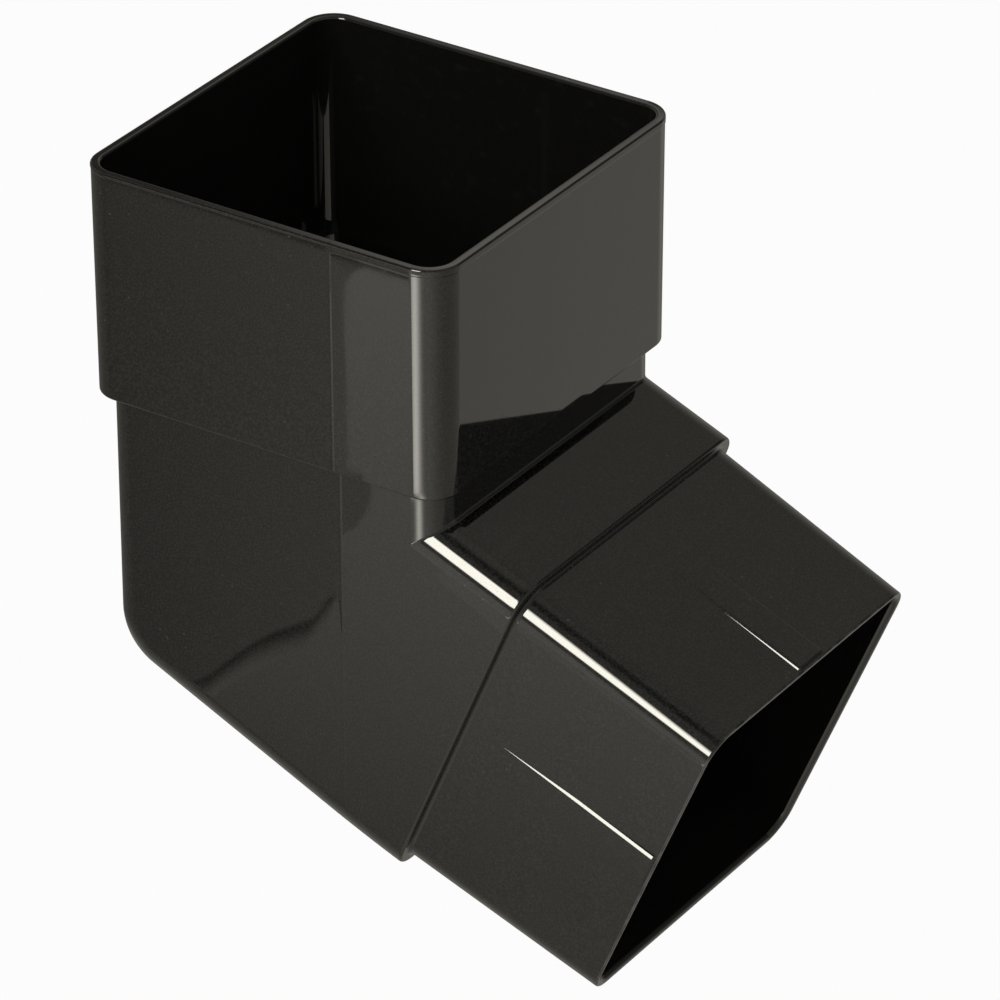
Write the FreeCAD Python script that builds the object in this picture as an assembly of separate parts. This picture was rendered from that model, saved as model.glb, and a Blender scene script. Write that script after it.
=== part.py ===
"""Square downspout elbow: one hollow moulding that turns a square rainwater downpipe.

The pipe from above drops into the socket and lands on the pipe stop inside it. Below the stop the
body bends, and a tapered spigot with four fit ramps leads on into the next socket.

Millimetres. The origin is the middle of the pipe stop, +Z runs up the socket's axis, and the bend
lies in the XZ plane with the spigot on the +X side.
"""
import FreeCAD
import Part
import math
import os

# Bend: the angle between the two pipes, and how far below the pipe stop their axes cross
bend_angle = 112.5
axis_drop = 31.1

# Socket for the upper pipe: the pipe's width, and its clearance on each side at the stop and the mouth
pipe_width = 65.0
clearance_at_stop = 1.55
clearance_at_mouth = 1.75
socket_wall = 1.65
socket_corner = 5.7
socket_depth = 40.5
stop_ledge = 2.0
stop_thickness = 2.0
shoulder_round = 0.4

# Lip round the mouth: the front half of the mould makes it taller than the rear half
rim_proud = 0.1
rim_lip_front = 1.4
rim_lip_rear = 0.7
rim_round = 0.3
parting_x = 14.5

# Bent body between the socket and the collar
body_wall = 1.7
body_corner = 5.7
waterway_corner = 3.4
heel_radius = 11.8
crotch_radius = 0.8
rear_draft = 1.9
collar_draft = 1.3
underside_blend = 16.0

# Collar step and spigot, measured along the lower axis
collar_reach = 40.2
collar_step = 1.75
collar_round = 1.0
spigot_length = 39.7
spigot_taper = 0.93
spigot_corner = 5.3
spigot_wall = 1.6
tip_round = 0.4
tip_chamfer = 1.1

# Fit ramps, one along the middle of each spigot face
ramp_width = 7.0
ramp_length = 33.0
ramp_rise = 0.55
ramp_setback = 0.6
ramp_chamfer = 0.35

# Depth by which shapes run past each other before they are joined or cut, and a size that is nothing
overlap = 1.0
nothing = 1e-5

# Widths and corners that follow from the pipe, its clearance, the walls and the steps between them
bore_at_stop = pipe_width + 2 * clearance_at_stop
bore_at_mouth = pipe_width + 2 * clearance_at_mouth
socket_width = bore_at_stop + 2 * socket_wall
mouth_width = bore_at_mouth + 2 * socket_wall
mouth_corner = socket_corner + clearance_at_mouth - clearance_at_stop
rim_width = mouth_width + 2 * rim_proud
body_bore = bore_at_stop - 2 * stop_ledge
body_width = body_bore + 2 * body_wall
spigot_root = body_width - 2 * collar_step
spigot_tip = spigot_root - 2 * spigot_taper

V = FreeCAD.Vector
sides_of_square = 4
quarter_turn = 360 / sides_of_square

# Lower axis: where it starts, its direction, and the upward normal of the spigot's top face
bend = math.radians(bend_angle)
crossing = V(0, 0, -axis_drop)
along = V(math.sin(bend), 0, math.cos(bend))
upward = V(-math.cos(bend), 0, math.sin(bend))
lower_axis = FreeCAD.Placement(crossing, FreeCAD.Rotation(V(0, 1, 0), bend_angle))
tip_reach = collar_reach + spigot_length


def rounded_square(width, radius, height):
    """Closed wire of a square with round corners, square to the Z axis at the given height."""
    half = width / 2
    flat = half - radius
    diagonal = flat + radius * math.sqrt(0.5)
    edges = []
    for side in range(sides_of_square):
        turn = FreeCAD.Rotation(V(0, 0, 1), side * quarter_turn)
        start, end, middle, finish = [
            turn.multVec(V(x, y, height))
            for x, y in ((half, -flat), (half, flat), (diagonal, diagonal), (flat, half))
        ]
        edges.append(Part.LineSegment(start, end).toShape())
        edges.append(Part.Arc(end, middle, finish).toShape())
    return Part.Wire(edges)


def square_loft(*stations):
    """Solid through rounded squares, each given as (width, corner radius, height)."""
    wires = [rounded_square(*station) for station in stations]
    return Part.makeLoft(wires, True, True)


def edges_on_plane(shape, point, normal):
    """Edges of a shape whose ends both lie on a plane."""
    def on_plane(vertex):
        return abs((vertex.Point - point).dot(normal)) < nothing
    return [edge for edge in shape.Edges if all(on_plane(vertex) for vertex in edge.Vertexes)]


def lower_point(reach, rise):
    """Point in the plane of the bend, by its distance along the lower axis and above it."""
    return crossing + along * reach + upward * rise


def corner_arc(corner, way_in, way_out, radius):
    """Arc of a given radius that rounds a corner, with the two points where it starts and ends."""
    turn = way_in.getAngle(way_out)
    tangent = radius * math.tan(turn / 2)
    start = corner - way_in * tangent
    end = corner + way_out * tangent
    inward = (way_out - way_in).normalize()
    middle = corner + inward * (radius / math.cos(turn / 2) - radius)
    return start, end, Part.Arc(start, middle, end).toShape()


def bend_outline(half, heel, crotch, top, reach):
    """Side outline of the bent body, from its upper end at height top to its lower end at reach."""
    down = V(0, 0, -1)
    back_top = V(-half, 0, top)
    front_top = V(half, 0, top)
    collar_low = lower_point(reach, -half)
    collar_high = lower_point(reach, half)

    # Underside: a shallow arc runs back from the collar into the drafted straight of the rear half
    mean_draft = math.radians((rear_draft - collar_draft) / 2)
    quarter_bow = math.radians((rear_draft + collar_draft) / 4)
    blend_start = lower_point(reach - underside_blend, underside_blend * math.tan(mean_draft) - half)
    blend_chord = collar_low - blend_start
    blend_middle = blend_start + blend_chord / 2 - upward * (blend_chord.Length / 2 * math.tan(quarter_bow))
    rear_angle = math.radians(rear_draft)
    rear_run = along * math.cos(rear_angle) - upward * math.sin(rear_angle)

    # Heel at the back and crotch at the front, where the upper run turns into the lower one
    heel_corner = blend_start - rear_run * ((blend_start.x + half) / rear_run.x)
    heel_start, heel_end, heel_arc = corner_arc(heel_corner, down, rear_run, heel)
    crotch_rise = (half - half * upward.x) / upward.z
    crotch_corner = crossing + V(half, 0, crotch_rise)
    crotch_start, crotch_end, crotch_arc = corner_arc(crotch_corner, down, along, crotch)

    return Part.Wire([
        Part.LineSegment(back_top, heel_start).toShape(),
        heel_arc,
        Part.LineSegment(heel_end, blend_start).toShape(),
        Part.Arc(blend_start, blend_middle, collar_low).toShape(),
        Part.LineSegment(collar_low, collar_high).toShape(),
        Part.LineSegment(collar_high, crotch_end).toShape(),
        crotch_arc,
        Part.LineSegment(crotch_start, front_top).toShape(),
        Part.LineSegment(front_top, back_top).toShape(),
    ])


def bent_block(width, corner, heel, crotch, top, reach):
    """Solid of the bend: its side outline taken across the width, with the long edges rounded."""
    half = width / 2
    face = Part.Face(bend_outline(half, heel, crotch, top, reach))
    face.translate(V(0, -half, 0))
    block = face.extrude(V(0, width, 0))
    across = V(0, 1, 0)
    side_edges = edges_on_plane(block, V(0, half, 0), across) + edges_on_plane(block, V(0, -half, 0), across)
    end_edges = edges_on_plane(block, V(0, 0, top), V(0, 0, 1))
    end_edges += edges_on_plane(block, lower_point(reach, 0), along)
    long_edges = [edge for edge in side_edges if not any(edge.isSame(end) for end in end_edges)]
    return block.makeFillet(corner, long_edges)


def socket_shell():
    """Outside of the socket, an even wall round its bore, with its lower edge eased above the body."""
    top = socket_depth - rim_lip_rear
    block = square_loft((socket_width, socket_corner, -stop_thickness), (mouth_width, mouth_corner, top))
    shoulder = edges_on_plane(block, V(0, 0, -stop_thickness), V(0, 0, 1))
    return block.makeFillet(shoulder_round, shoulder)


def rim_lip(height, low_x, high_x):
    """One mould half's share of the lip round the mouth, between two planes across X."""
    low = socket_depth - height
    corner = mouth_corner + rim_proud
    band = square_loft((rim_width, corner, low), (rim_width, corner, socket_depth))
    band = band.makeFillet(rim_round, edges_on_plane(band, V(0, 0, socket_depth), V(0, 0, 1)))
    half_space = Part.makeBox(high_x - low_x, rim_width, height, V(low_x, -rim_width / 2, low))
    return band.common(half_space)


def body_shell():
    """Outside of the bend, from inside the socket's floor down to the collar step."""
    block = bent_block(body_width, body_corner, heel_radius, crotch_radius, 0, collar_reach)
    return block.makeFillet(collar_round, edges_on_plane(block, lower_point(collar_reach, 0), along))


def spigot_width(reach):
    """Outer width of the tapered spigot at a distance along the lower axis."""
    share = (reach - collar_reach) / spigot_length
    return spigot_root + (spigot_tip - spigot_root) * share


def spigot_shell():
    """Outside of the spigot, in its own axis, with its tip eased."""
    start = collar_reach - overlap
    block = square_loft((spigot_width(start), spigot_corner, start), (spigot_tip, spigot_corner, tip_reach))
    return block.makeFillet(tip_round, edges_on_plane(block, V(0, 0, tip_reach), V(0, 0, 1)))


def fit_ramp():
    """Wedge on the spigot's +X face, in the spigot's own axis, that tightens the fit in a socket."""
    end = tip_reach - ramp_setback
    start = end - ramp_length
    start_face = spigot_width(start) / 2
    end_face = spigot_width(end) / 2
    root = spigot_wall / 2
    outline = [
        (start_face - root, start),
        (start_face, start),
        (end_face + ramp_rise, end - ramp_chamfer),
        (end_face + ramp_rise - ramp_chamfer, end),
        (end_face - root, end),
    ]
    points = [V(x, -ramp_width / 2, z) for x, z in outline]
    face = Part.Face(Part.makePolygon(points + points[:1]))
    return face.extrude(V(0, ramp_width, 0))


def on_lower_axis(shape, turn=0):
    """A shape made about the Z axis, turned about it and set on the lower axis."""
    shape = shape.copy()
    shape.rotate(V(0, 0, 0), V(0, 0, 1), turn)
    shape.Placement = lower_axis.multiply(shape.Placement)
    return shape


def socket_void():
    """Room for the upper pipe, slightly wider at its mouth."""
    return square_loft(
        (bore_at_stop, socket_corner - socket_wall, 0),
        (bore_at_mouth, mouth_corner - socket_wall, socket_depth),
    )


def body_void():
    """Waterway through the bend, one wall inside the body."""
    return bent_block(
        body_bore,
        waterway_corner,
        heel_radius - body_wall,
        crotch_radius + body_wall,
        overlap,
        collar_reach - spigot_wall,
    )


def spigot_void():
    """Waterway through the spigot, one wall inside it, with its tip chamfered to a thin edge."""
    corner = spigot_corner - spigot_wall
    start = collar_reach - spigot_wall - overlap
    flare_start = tip_reach - tip_chamfer
    bore = square_loft(
        (spigot_width(start) - 2 * spigot_wall, corner, start),
        (spigot_tip - 2 * spigot_wall, corner, tip_reach),
    )
    flare_width = spigot_width(flare_start) - 2 * spigot_wall
    flare = square_loft(
        (flare_width, corner, flare_start),
        (flare_width + 2 * tip_chamfer, corner + tip_chamfer, tip_reach),
    )
    return bore.fuse(flare)


def downspout_elbow():
    """The whole moulding: every outer shape joined, then the waterway taken out."""
    shells = [
        rim_lip(rim_lip_front, parting_x, rim_width / 2),
        rim_lip(rim_lip_rear, -rim_width / 2, parting_x),
        body_shell(),
        on_lower_axis(spigot_shell()),
    ]
    shells += [on_lower_axis(fit_ramp(), side * quarter_turn) for side in range(sides_of_square)]
    outside = socket_shell().fuse(shells)
    waterway = [socket_void(), body_void(), on_lower_axis(spigot_void())]
    return outside.cut(waterway).removeSplitter()


elbow = downspout_elbow()
if elbow.ShapeType != "Solid":
    elbow = elbow.Solids[0]
box = elbow.BoundBox
print(f"elbow: {box.XLength:.1f} x {box.YLength:.1f} x {box.ZLength:.1f} mm, {elbow.Volume / 1000:.1f} cm3")

os.makedirs("parts", exist_ok=True)
elbow.exportStep("parts/downspout_elbow.step")
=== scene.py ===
# %% [markdown]
# # A square downspout elbow in glossy black plastic
# The elbow is one hollow moulding: a socket on top takes the end of a square rainwater pipe, the body
# bends, and a tapered spigot with four fit ramps leads on into the next fitting. The imported CAD model
# is loaded first as a fixed frame, so that everything made here sits where the real solid sits.

# %% Load the frame
import bpy
import bmesh
import math
from mathutils import Matrix, Vector


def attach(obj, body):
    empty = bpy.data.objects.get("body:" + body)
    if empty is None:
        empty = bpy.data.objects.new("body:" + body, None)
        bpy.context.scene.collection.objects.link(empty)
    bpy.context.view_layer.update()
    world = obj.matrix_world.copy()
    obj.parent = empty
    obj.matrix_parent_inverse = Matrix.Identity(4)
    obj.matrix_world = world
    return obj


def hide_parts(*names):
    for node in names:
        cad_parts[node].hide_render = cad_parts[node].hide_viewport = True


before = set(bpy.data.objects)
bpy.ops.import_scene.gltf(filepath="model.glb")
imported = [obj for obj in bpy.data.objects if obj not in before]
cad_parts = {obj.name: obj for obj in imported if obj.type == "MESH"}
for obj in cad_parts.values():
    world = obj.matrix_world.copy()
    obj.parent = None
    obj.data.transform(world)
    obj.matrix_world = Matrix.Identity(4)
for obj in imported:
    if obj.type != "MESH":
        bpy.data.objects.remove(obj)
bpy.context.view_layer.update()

MM = 0.001

# %% [markdown]
# ## The sizes of the moulding
# A moulding like this is drawn from few sizes: the bend, the socket, the body, the collar and the
# spigot. They are the same as in the CAD part, in millimetres. The origin is the middle of the pipe
# stop, +Z runs up the socket and the spigot points to +X, so the whole bend lies in the XZ plane.

# %% Sizes of the elbow
BEND_ANGLE = math.radians(112.5)
AXIS_DROP = 31.1
SOCKET_DEPTH = 40.5
SOCKET_FLOOR = -2.0
RIM_HALF, MOUTH_HALF, SOCKET_HALF = 36.0, 35.9, 35.7
BORE_MOUTH_HALF, BORE_STOP_HALF = 34.25, 34.05
SOCKET_CORNER = 5.7
SOCKET_WALL = 1.65
LIP_REAR, LIP_FRONT = 0.7, 1.4
PARTING_X = 14.5
BODY_HALF, BODY_CORNER = 33.75, 5.7
WATERWAY_HALF, WATERWAY_CORNER = 32.05, 3.4
HEEL_RADIUS, CROTCH_RADIUS = 11.8, 0.8
BODY_WALL = 1.7
COLLAR_REACH, SPIGOT_LENGTH = 40.2, 39.7
SPIGOT_ROOT_HALF, SPIGOT_TAPER = 32.0, 0.93
SPIGOT_CORNER, SPIGOT_WALL = 5.3, 1.6
TIP_CHAMFER = 1.1
TIP_REACH = COLLAR_REACH + SPIGOT_LENGTH

crossing = Vector((0, 0, -AXIS_DROP))
along = Vector((math.sin(BEND_ANGLE), 0, math.cos(BEND_ANGLE)))
upward = Vector((-math.cos(BEND_ANGLE), 0, math.sin(BEND_ANGLE)))


def lower_point(reach, rise):
    """Point in the plane of the bend, by its distance along the lower axis and above it."""
    return crossing + along * reach + upward * rise


def spigot_half(reach):
    """Half the outer width of the tapered spigot."""
    return SPIGOT_ROOT_HALF - SPIGOT_TAPER * (reach - COLLAR_REACH) / SPIGOT_LENGTH


print("tip of the spigot:", [round(v, 2) for v in lower_point(TIP_REACH, 0)])

# %% [markdown]
# ## The bend seen from the side
# The back of the bend runs down, turns round the heel and drops slightly towards a shallow bow before
# the collar. The front turns sharply in the crotch. A loft needs the same number of points on both
# lines, so the points are dealt out in three runs: above the turn, round it, and along the lower pipe.

# %% Helpers for lines in the plane of the bend


def turned(direction, angle):
    """A direction in the plane of the bend, turned from +Z towards +X."""
    return Matrix.Rotation(angle, 3, "Y") @ direction


def shared_points(start, end, steps):
    """Points from start up to, but not including, end."""
    return [start.lerp(end, i / steps) for i in range(steps)]


def round_corner(corner, way_in, way_out, radius, steps):
    """Points round a corner with the directions in which the line runs there."""
    turn = way_in.angle(way_out)
    tangent = radius * math.tan(turn / 2)
    centre = corner + (way_out - way_in).normalized() * (radius / math.cos(turn / 2))
    spoke = corner - way_in * tangent - centre
    axis = way_in.cross(way_out).normalized()
    turns = [Matrix.Rotation(turn * i / steps, 3, axis) for i in range(steps + 1)]
    return [centre + t @ spoke for t in turns], [t @ way_in for t in turns]


print("spigot points along:", [round(v, 4) for v in turned(Vector((0, 0, 1)), BEND_ANGLE)])

# %% Front and back lines of the bend
REAR_DRAFT, COLLAR_DRAFT = math.radians(1.9), math.radians(1.3)
UNDERSIDE_BLEND = 16.0
ABOVE_TURN, ROUND_TURN, AFTER_TURN, BOW_STEPS = 4, 12, 5, 8


def bend_lines(half, heel, crotch, corner, edge_turn, top, reach):
    """Front and back points of the bend with their inward directions, from height top to reach.

    In the crotch the wall's round edges meet in a mitre: the line where the edge starts turns with its
    own radius, edge_turn, so the inward directions there run from one turned line to the other.
    """
    down = Vector((0, 0, -1))
    mean_draft = (REAR_DRAFT - COLLAR_DRAFT) / 2
    blend_start = lower_point(reach - UNDERSIDE_BLEND, UNDERSIDE_BLEND * math.tan(mean_draft) - half)
    rear_run = turned(along, REAR_DRAFT)
    heel_corner = blend_start - rear_run * ((blend_start.x + half) / rear_run.x)

    def crotch_corner(at):
        return crossing + Vector((at, 0, at * (1 - upward.x) / upward.z))

    heel_points, heel_ways = round_corner(heel_corner, down, rear_run, heel, ROUND_TURN)
    crotch_points = round_corner(crotch_corner(half), down, along, crotch, ROUND_TURN)[0]
    edge_points = round_corner(crotch_corner(half - corner), down, along, edge_turn, ROUND_TURN)[0]
    bow_end = lower_point(reach, -half)
    bow_radius = (bow_end - blend_start).length / 2 / math.sin((REAR_DRAFT + COLLAR_DRAFT) / 2)
    bow_angles = [-(REAR_DRAFT + COLLAR_DRAFT) * i / BOW_STEPS for i in range(BOW_STEPS + 1)]
    bow_ways = [turned(rear_run, angle) for angle in bow_angles]
    inward = [Vector((-way.z, 0, way.x)) for way in bow_ways]
    bow_points = [blend_start + (inward[0] - side) * bow_radius for side in inward]

    back = shared_points(Vector((-half, 0, top)), heel_points[0], ABOVE_TURN)
    back_way = [down] * ABOVE_TURN
    back += heel_points[:-1] + shared_points(heel_points[-1], blend_start, AFTER_TURN) + bow_points
    back_way += heel_ways[:-1] + [rear_run] * AFTER_TURN + bow_ways
    front = shared_points(Vector((half, 0, top)), crotch_points[0], ABOVE_TURN)
    front_in = [Vector((-1, 0, 0))] * ABOVE_TURN
    front_in += [(edge - point) / corner for edge, point in zip(edge_points, crotch_points)]
    run_end = lower_point(reach, half)
    lower_steps = AFTER_TURN + BOW_STEPS
    front += crotch_points[:-1] + shared_points(crotch_points[-1], run_end, lower_steps) + [run_end]
    front_in += [-upward] * lower_steps
    back_in = [Vector((-way.z, 0, way.x)) for way in back_way]
    return list(zip(front, front_in, back, back_in))


CROTCH_EDGE_TURN = 0.3
outer_bend = bend_lines(
    BODY_HALF, HEEL_RADIUS, CROTCH_RADIUS, BODY_CORNER, CROTCH_EDGE_TURN, SOCKET_FLOOR, COLLAR_REACH)
print("bend line points:", len(outer_bend), "last back point", [round(v, 3) for v in outer_bend[-1][2]])

# %% [markdown]
# ## Stations along the wall
# The wall of the elbow is followed once all the way round: down the outside from the rim to the tip of
# the spigot, over the tip, and back up the inside to the mouth. Each station is a rounded square,
# given by its front and back point, half its width and its corner radius. Edges that a mould leaves
# slightly round get several stations each, so that they catch the light as on the real thing.

# %% Helpers that add a station
stations = []


def add_station(front, front_in, back, back_in, half, corner, lip=0.0):
    """One rounded square; lip is how far its front half drops below its rear half."""
    stations.append((front, front_in, back, back_in, half, corner, lip))


def add_level(height, half, corner, lip=0.0):
    """Station square to the socket's axis."""
    right = Vector((1, 0, 0))
    up = Vector((0, 0, height))
    add_station(up + right * half, -right, up - right * half, right, half, corner, lip)


def add_lower(reach, half, corner, droop=0.0):
    """Station square to the lower axis; droop lowers its underside."""
    low = lower_point(reach, -half - droop)
    add_station(lower_point(reach, half), -upward, low, upward, half, corner)


def quarter(radius, steps):
    """Pairs (distance still to go along, distance in) round an outer edge of a given radius."""
    angles = [math.pi / 2 * i / steps for i in range(steps + 1)]
    return [(radius - radius * math.sin(a), radius - radius * math.cos(a)) for a in angles]


EDGE_STEPS = 8
print("stations round an outer edge:", len(quarter(1.0, EDGE_STEPS)))

# %% Stations down the outside, from the rim to the tip
RIM_ROUND, LIP_ROUND, MOUTH_ROUND = 0.35, 0.35, 0.5
SHOULDER_ROUND, COLLAR_ROUND, COLLAR_FOOT, TIP_ROUND = 0.4, 0.55, 0.8, 0.4
rim_corner = RIM_HALF - (SOCKET_HALF - SOCKET_CORNER)
mouth_corner = MOUTH_HALF - (SOCKET_HALF - SOCKET_CORNER)
lip_drop = LIP_FRONT - LIP_REAR
LIP_STEPS = 4
BELOW_LIP, BELOW_LIP_INSET = 0.3, 0.005

for left, inset in reversed(quarter(RIM_ROUND, EDGE_STEPS)):
    add_level(SOCKET_DEPTH - left, RIM_HALF - inset, rim_corner - inset)
lip_turn = math.acos(1 - (RIM_HALF - MOUTH_HALF) / LIP_ROUND)
for step in range(LIP_STEPS + 1):
    angle = lip_turn * step / LIP_STEPS
    inset = LIP_ROUND * (1 - math.cos(angle))
    height = SOCKET_DEPTH - LIP_REAR + LIP_ROUND * (math.sin(lip_turn) - math.sin(angle))
    add_level(height, RIM_HALF - inset, rim_corner - inset, lip_drop)
wall_top = SOCKET_DEPTH - LIP_FRONT - BELOW_LIP
add_level(wall_top, MOUTH_HALF - BELOW_LIP_INSET, mouth_corner - BELOW_LIP_INSET)
for left, inset in quarter(SHOULDER_ROUND, EDGE_STEPS):
    add_level(SOCKET_FLOOR + left, SOCKET_HALF - inset, SOCKET_CORNER - inset)
for front, front_in, back, back_in in outer_bend[:-1]:
    add_station(front, front_in, back, back_in, BODY_HALF, BODY_CORNER)
for left, inset in quarter(COLLAR_ROUND, EDGE_STEPS):
    half = BODY_HALF - inset
    add_lower(COLLAR_REACH - left, half, BODY_CORNER - inset, left * math.tan(COLLAR_DRAFT))
for left, inset in quarter(COLLAR_FOOT, EDGE_STEPS):
    reach = COLLAR_REACH + inset
    add_lower(reach, spigot_half(reach) + left, SPIGOT_CORNER + left)
for left, inset in quarter(TIP_ROUND, EDGE_STEPS):
    add_lower(TIP_REACH - left, spigot_half(TIP_REACH - left) - inset, SPIGOT_CORNER - inset)
print("stations on the outside:", len(stations))

# %% Stations back up the bore, from the tip to the mouth
flare_reach = TIP_REACH - TIP_CHAMFER
bore_corner = SPIGOT_CORNER - SPIGOT_WALL
flare_half = spigot_half(flare_reach) - SPIGOT_WALL
for left, inset in reversed(quarter(TIP_CHAMFER, EDGE_STEPS)):
    add_lower(TIP_REACH - left, flare_half + inset, bore_corner + inset)
inner_step = COLLAR_REACH - SPIGOT_WALL
add_lower(inner_step, spigot_half(inner_step) - SPIGOT_WALL, bore_corner)
inner_crotch = CROTCH_RADIUS + BODY_WALL
inner_edge_turn = inner_crotch + WATERWAY_CORNER
inner_bend = bend_lines(
    WATERWAY_HALF, HEEL_RADIUS - BODY_WALL, inner_crotch, WATERWAY_CORNER, inner_edge_turn, 0, inner_step)
for front, front_in, back, back_in in reversed(inner_bend):
    add_station(front, front_in, back, back_in, WATERWAY_HALF, WATERWAY_CORNER)
add_level(0, BORE_STOP_HALF, SOCKET_CORNER - SOCKET_WALL)
for left, inset in quarter(MOUTH_ROUND, EDGE_STEPS):
    half = BORE_MOUTH_HALF + inset
    add_level(SOCKET_DEPTH - left, half, mouth_corner - SOCKET_WALL + inset)
print("stations along the wall:", len(stations))

# %% [markdown]
# ## The section that travels along the wall
# Every station has the same section: a square with round corners. Its points are kept as shares, not
# sizes, so that one section serves all stations. Two extra points on each flat side lie close
# together, either side of the parting line of the mould, where the lip changes its height.

# %% Points of the rounded square
CORNER_STEPS = 16
RIDGE_REAR, RIDGE_FRONT = 0.6, 0.35


def section_points():
    """Rows of (share towards the back, side, rounding along, rounding across, mould's front half)."""
    flat = SOCKET_HALF - SOCKET_CORNER
    rows = []
    for quadrant in range(4):
        behind = quadrant in (1, 2)
        side = 1 if quadrant in (0, 1) else -1
        for step in range(CORNER_STEPS + 1):
            angle = math.pi / 2 * (quadrant + step / CORNER_STEPS)
            rounding = 1 - abs(math.cos(angle)), 1 - abs(math.sin(angle))
            rows.append((float(behind), side, *rounding, not behind))
        if quadrant in (0, 2):
            ahead = [(flat - PARTING_X - shift) / (2 * flat) for shift in (RIDGE_FRONT, -RIDGE_REAR)]
            shares = ahead if quadrant == 0 else ahead[::-1]
            rows += [(share, side, 1.0, 0.0, share == ahead[0]) for share in shares]
    return rows


section_rows = section_points()
print("points round the section:", len(section_rows))

# %% [markdown]
# A Geometry Nodes tree can't read a list from the script, but it can look up values stored on points.
# So the stations and the section become two objects of loose points, with one attribute for each value.

# %% Store stations and section as plain points with attributes


def point_object(name, count, columns):
    """An object of loose points whose attributes carry one value per point."""
    mesh = bpy.data.meshes.new(name)
    mesh.from_pydata([(0, 0, 0)] * count, [], [])
    for label, kind, values in columns:
        layer = mesh.attributes.new(label, kind, "POINT")
        key = "vector" if kind == "FLOAT_VECTOR" else "value"
        flat = [c for v in values for c in v] if key == "vector" else values
        layer.data.foreach_set(key, flat)
    piece = bpy.data.objects.new(name, mesh)
    bpy.context.scene.collection.objects.link(piece)
    return piece


fronts, front_ins, backs, back_ins, halves, corners, lips = zip(*stations)
spine = point_object("downspout_elbow_moulding", len(stations), [
    ("front", "FLOAT_VECTOR", [p * MM for p in fronts]),
    ("front_in", "FLOAT_VECTOR", front_ins),
    ("back", "FLOAT_VECTOR", [p * MM for p in backs]),
    ("back_in", "FLOAT_VECTOR", back_ins),
    ("half", "FLOAT", [h * MM for h in halves]),
    ("corner", "FLOAT", [c * MM for c in corners]),
    ("lip", "FLOAT", [d * MM for d in lips]),
])
behind, side, run_in, side_in, mould_front = zip(*section_rows)
section = point_object("section_points", len(section_rows), [
    ("behind", "FLOAT", [float(v) for v in behind]),
    ("side", "FLOAT", [float(v) for v in side]),
    ("run_in", "FLOAT", run_in),
    ("side_in", "FLOAT", side_in),
    ("mould_front", "FLOAT", [float(v) for v in mould_front]),
])
print("spine and section stored:", spine.name, section.name)

# %% [markdown]
# ## The material of the moulding
# The fitting is rigid PVC, almost black, with the gloss of a polished mould. Its colour hardly shows:
# nearly all that is seen is reflection, so the work goes into roughness and into the small waves that
# bend the reflections. It is made here, because the mesh takes it as an input.

# %% Black glossy PVC


def new_material(name):
    """A node material, with its nodes and links at hand."""
    material = bpy.data.materials.new(name)
    material.use_nodes = True
    return material, material.node_tree.nodes, material.node_tree.links


black_pvc, nodes, links = new_material("black_pvc")
pvc = nodes["Principled BSDF"]
pvc.inputs["IOR"].default_value = 1.5
coordinates = nodes.new("ShaderNodeTexCoord")
print("material made:", black_pvc.name)


def noise(scale, detail, vector=None):
    """Noise in the object's own coordinates; scale counts per metre."""
    node = nodes.new("ShaderNodeTexNoise")
    node.inputs["Scale"].default_value = scale
    node.inputs["Detail"].default_value = detail
    links.new(vector or coordinates.outputs["Object"], node.inputs["Vector"])
    return node.outputs["Fac"]


def ranged(value, low, high, to_low, to_high):
    """A value moved from one range to another, held inside it."""
    node = nodes.new("ShaderNodeMapRange")
    links.new(value, node.inputs["Value"])
    for label, number in (("From Min", low), ("From Max", high), ("To Min", to_low), ("To Max", to_high)):
        node.inputs[label].default_value = number
    return node.outputs["Result"]


def combined(operation, first, second):
    """Two values, or a value and a number, put together by one Math node."""
    node = nodes.new("ShaderNodeMath")
    node.operation = operation
    for socket, item in zip(node.inputs, (first, second)):
        if isinstance(item, (int, float)):
            socket.default_value = item
        else:
            links.new(item, socket)
    return node.outputs["Value"]


# %% [markdown]
# Even black plastic is not one flat black. A fine speckle breaks it up, and wiping leaves faint marks.
# Dust lies in patches on the side walls, and knocked edges turn grey; on the tip and the rear of the
# socket's shoulder this grey is also a painted highlight, a thin light line. Noise makes all of these,
# and values that are stored on the mesh further down say where each may lie.

# %% Speckle, dust, wipe marks, knocks and a painted edge highlight in the colour
MEAN_SPECKLE = 0.3


def mixed(share, first, second):
    """A colour between two others; either may be a colour socket or plain numbers."""
    node = nodes.new("ShaderNodeMix")
    node.data_type = "RGBA"
    links.new(share, node.inputs["Factor"])
    for label, item in (("A", first), ("B", second)):
        if isinstance(item, tuple):
            node.inputs[label].default_value = item + (1,)
        else:
            links.new(item, node.inputs[label])
    return next(output for output in node.outputs if output.type == "RGBA")


def mark(label):
    """A value that is stored on the points of the mesh."""
    node = nodes.new("ShaderNodeAttribute")
    node.attribute_name = label
    return node.outputs["Fac"]


fine_speckle = combined("MULTIPLY", ranged(noise(2900, 2), 0.42, 0.72, 0, 1), 0.9)
speckle = combined("ADD", fine_speckle, combined("MULTIPLY", noise(140, 3), 0.1))
outer_speckle = combined("MULTIPLY", combined("SUBTRACT", speckle, MEAN_SPECKLE), mark("outside"))
speckle = combined("ADD", outer_speckle, MEAN_SPECKLE)
plastic_colour = mixed(speckle, (0.0006, 0.0006, 0.0005), (0.0150, 0.0146, 0.0132))

wiping = nodes.new("ShaderNodeMapping")
wiping.inputs["Scale"].default_value = (520, 22, 520)
links.new(coordinates.outputs["Object"], wiping.inputs["Vector"])
wipe_marks = ranged(noise(1, 3, wiping.outputs["Vector"]), 0.58, 0.80, 0.0, 0.35)
plastic_colour = mixed(wipe_marks, plastic_colour, (0.014, 0.0136, 0.0125))

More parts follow.
